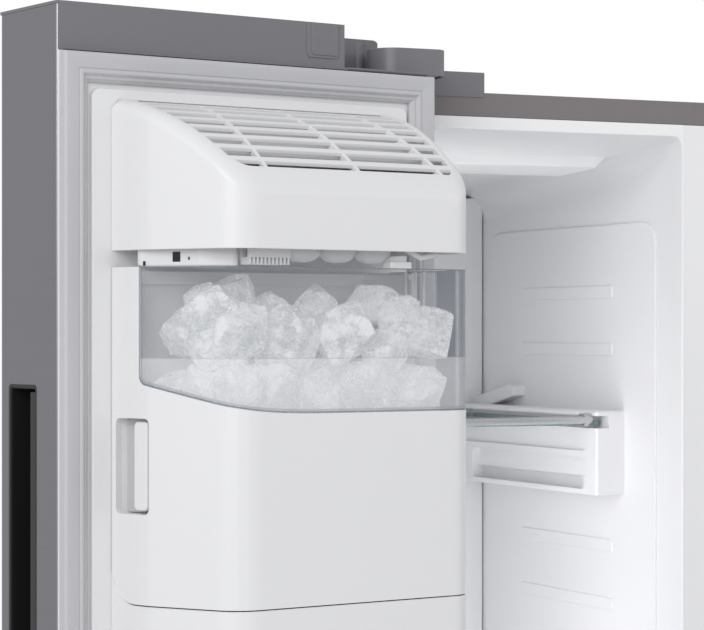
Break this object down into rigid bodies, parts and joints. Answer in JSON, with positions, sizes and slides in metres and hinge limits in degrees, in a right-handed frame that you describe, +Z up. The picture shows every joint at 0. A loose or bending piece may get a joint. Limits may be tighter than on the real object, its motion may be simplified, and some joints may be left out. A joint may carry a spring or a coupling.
{
  "type": "side by side refrigerator",
  "caption": "Side by side refrigerator with both doors open: freezer with an in-door ice maker, fridge with shelves, drawers and door bins.",
  "frame": {"origin": "on the floor, under the centre of the outer box of the object with both doors open", "axes": "+X to the object's right seen from the front, +Y from the doors to the back, +Z up"},
  "size_m": [1.7762, 0.9016, 1.78],
  "materials": {
    "steel": "satin brushed stainless steel, vertical grain",
    "cap_plastic": "fine-textured dark gray plastic",
    "strip": "grained warm gray plastic",
    "case_paint": "textured dark gray painted sheet steel",
    "white_plastic": "smooth white plastic, satin sheen",
    "foamed_door": "smooth white liner plastic bonded to a rigid foam core",
    "liner_white": "vacuum-formed white liner plastic",
    "mullion_gray": "smooth light gray paint",
    "gasket_rubber": "soft light gray vinyl seal",
    "black_plastic": "black plastic, satin",
    "clear_plastic": "clear, faintly smoke-tinted plastic",
    "shelf_glass": "clear tempered glass",
    "bright_metal": "satin chrome-plated steel",
    "foam": "matte rigid insulation foam",
    "zinc_steel": "galvanised sheet steel",
    "copper_tube": "drawn copper tube",
    "pump_black": "black painted steel shell",
    "rubber": "dark gray rubber tread"
  },
  "bodies": {
    "cabinet": {"base_frame": "zinc_steel", "cabinet_insulation": "foam", "compressor": "pump_black", "condenser": "copper_tube", "evaporator": "zinc_steel", "evaporator_cover": "liner_white", "freezer_bottom_hinge": "zinc_steel", "freezer_hinge_cover": "cap_plastic", "freezer_light": "clear_plastic", "freezer_liner": "liner_white", "freezer_top_hinge": "zinc_steel", "fridge_air_duct": "liner_white", "fridge_bottom_hinge": "zinc_steel", "fridge_hinge_cover": "cap_plastic", "fridge_light": "clear_plastic", "fridge_liner": "liner_white", "fridge_top_hinge": "zinc_steel", "kick_plate": "cap_plastic", "machine_cover": "zinc_steel", "mullion_cover": "mullion_gray", "outer_case": "case_paint", "rear_panel": "zinc_steel", "top_rail": "strip"},
    "freezer_door": {"freezer_door_skin": "steel", "freezer_door_liner": "foamed_door", "freezer_door_top_cap": "cap_plastic", "freezer_door_gasket": "gasket_rubber", "freezer_door_handle": "black_plastic", "ice_maker_cover": "white_plastic", "ice_maker": "white_plastic", "dispenser_housing": "black_plastic", "freezer_door_bin": "clear_plastic"},
    "fridge_door": {"fridge_door_skin": "steel", "fridge_door_liner": "foamed_door", "fridge_door_top_cap": "cap_plastic", "fridge_door_gasket": "gasket_rubber", "fridge_door_handle": "black_plastic", "fridge_door_bin_upper": "clear_plastic", "fridge_door_bin_lower": "clear_plastic"},
    "freezer_shelf": {"freezer_shelf": "shelf_glass", "freezer_shelf_rod": "bright_metal"},
    "ice_bucket": {"ice_bucket": "white_plastic", "bucket_window": "clear_plastic"},
    "freezer_drawer_lower": {"freezer_drawer_lower": "white_plastic"},
    "freezer_drawer_upper": {"freezer_drawer_upper": "white_plastic"},
    "fridge_shelf_upper": {"fridge_shelf_upper": "shelf_glass"},
    "fridge_shelf_lower": {"fridge_shelf_lower": "shelf_glass"},
    "crisper_drawer_lower": {"crisper_drawer_lower": "clear_plastic"},
    "crisper_drawer_upper": {"crisper_drawer_upper": "clear_plastic"},
    "evaporator_fan": {"evaporator_fan": "black_plastic"},
    "condenser_fan": {"condenser_fan": "black_plastic"},
    "front_foot_left": {"front_foot_left": "black_plastic"},
    "rear_roller_left": {"rear_roller_left": "rubber"},
    "front_foot_right": {"front_foot_right": "black_plastic"},
    "rear_roller_right": {"rear_roller_right": "rubber"},
    "ice_auger": {"ice_auger": "bright_metal"},
    "bucket_latch": {"bucket_latch": "white_plastic"},
    "ice_tray": {"ice_tray": "liner_white"},
    "dispenser_paddle": {"dispenser_paddle": "cap_plastic"},
    "drip_tray": {"drip_tray": "cap_plastic"}
  },
  "joints": [
    {"name": "freezer_door_swing", "type": "hinge", "parent": "cabinet", "child": "freezer_door", "pos_m": [-0.49699, -0.22123, 0.9], "axis": [0, 0, -1], "range_deg": [-168.9, 0]},
    {"name": "fridge_door_swing", "type": "hinge", "parent": "cabinet", "child": "fridge_door", "pos_m": [0.39101, -0.22123, 0.9], "axis": [0, 0, 1], "range_deg": [-168.9, 0]},
    {"name": "freezer_shelf_slide", "type": "slide", "parent": "cabinet", "child": "freezer_shelf", "axis": [0, -1, 0], "range_m": [0, 0.25]},
    {"name": "freezer_drawer_lower_slide", "type": "slide", "parent": "cabinet", "child": "freezer_drawer_lower", "axis": [0, -1, 0], "range_m": [0, 0.26]},
    {"name": "freezer_drawer_upper_slide", "type": "slide", "parent": "cabinet", "child": "freezer_drawer_upper", "axis": [0, -1, 0], "range_m": [0, 0.26]},
    {"name": "fridge_shelf_upper_slide", "type": "slide", "parent": "cabinet", "child": "fridge_shelf_upper", "axis": [0, -1, 0], "range_m": [0, 0.25]},
    {"name": "fridge_shelf_lower_slide", "type": "slide", "parent": "cabinet", "child": "fridge_shelf_lower", "axis": [0, -1, 0], "range_m": [0, 0.25]},
    {"name": "crisper_drawer_lower_slide", "type": "slide", "parent": "cabinet", "child": "crisper_drawer_lower", "axis": [0, -1, 0], "range_m": [0, 0.26]},
    {"name": "crisper_drawer_upper_slide", "type": "slide", "parent": "cabinet", "child": "crisper_drawer_upper", "axis": [0, -1, 0], "range_m": [0, 0.26]},
    {"name": "evaporator_fan_spin", "type": "hinge", "parent": "cabinet", "child": "evaporator_fan", "pos_m": [-0.29899, 0.33276, 1.4], "axis": [0, 1, 0], "continuous": true},
    {"name": "condenser_fan_spin", "type": "hinge", "parent": "cabinet", "child": "condenser_fan", "pos_m": [0.00701, 0.36077, 0.14], "axis": [1, 0, 0], "continuous": true},
    {"name": "front_foot_left_turn", "type": "hinge", "parent": "cabinet", "child": "front_foot_left", "pos_m": [-0.46299, -0.11124, 0], "axis": [0, 0, 1], "continuous": true},
    {"name": "rear_roller_left_roll", "type": "hinge", "parent": "cabinet", "child": "rear_roller_left", "pos_m": [-0.45299, 0.40576, 0.02], "axis": [1, 0, 0], "continuous": true},
    {"name": "front_foot_right_turn", "type": "hinge", "parent": "cabinet", "child": "front_foot_right", "pos_m": [0.35701, -0.11124, 0], "axis": [0, 0, 1], "continuous": true},
    {"name": "rear_roller_right_roll", "type": "hinge", "parent": "cabinet", "child": "rear_roller_right", "pos_m": [0.34701, 0.40576, 0.02], "axis": [1, 0, 0], "continuous": true},
    {"name": "ice_bucket_pull", "type": "slide", "parent": "freezer_door", "child": "ice_bucket", "axis": [0.1925, -0.9813, 0], "range_m": [0, 0.16]},
    {"name": "ice_auger_turn", "type": "hinge", "parent": "ice_bucket", "child": "ice_auger", "pos_m": [-0.6323, -0.37822, 1.27], "axis": [0, 0, 1], "continuous": true},
    {"name": "bucket_latch_pull", "type": "hinge", "parent": "ice_bucket", "child": "bucket_latch", "pos_m": [-0.80144, -0.36143, 1.382], "axis": [0, 0, -1], "range_deg": [0, 18]},
    {"name": "ice_tray_twist", "type": "hinge", "parent": "freezer_door", "child": "ice_tray", "pos_m": [-0.61912, -0.36748, 1.601], "axis": [0.9813, 0.1925, 0], "range_deg": [0, 150]},
    {"name": "dispenser_paddle_press", "type": "hinge", "parent": "freezer_door", "child": "dispenser_paddle", "pos_m": [-0.68378, -0.24565, 1.15], "axis": [-0.9813, -0.1925, 0], "range_deg": [0, 12], "stiffness_Nm_per_rad": 0.4},
    {"name": "drip_tray_pull", "type": "slide", "parent": "freezer_door", "child": "drip_tray", "axis": [-0.1925, 0.9813, 0], "range_m": [0, 0.05]}
  ]
}
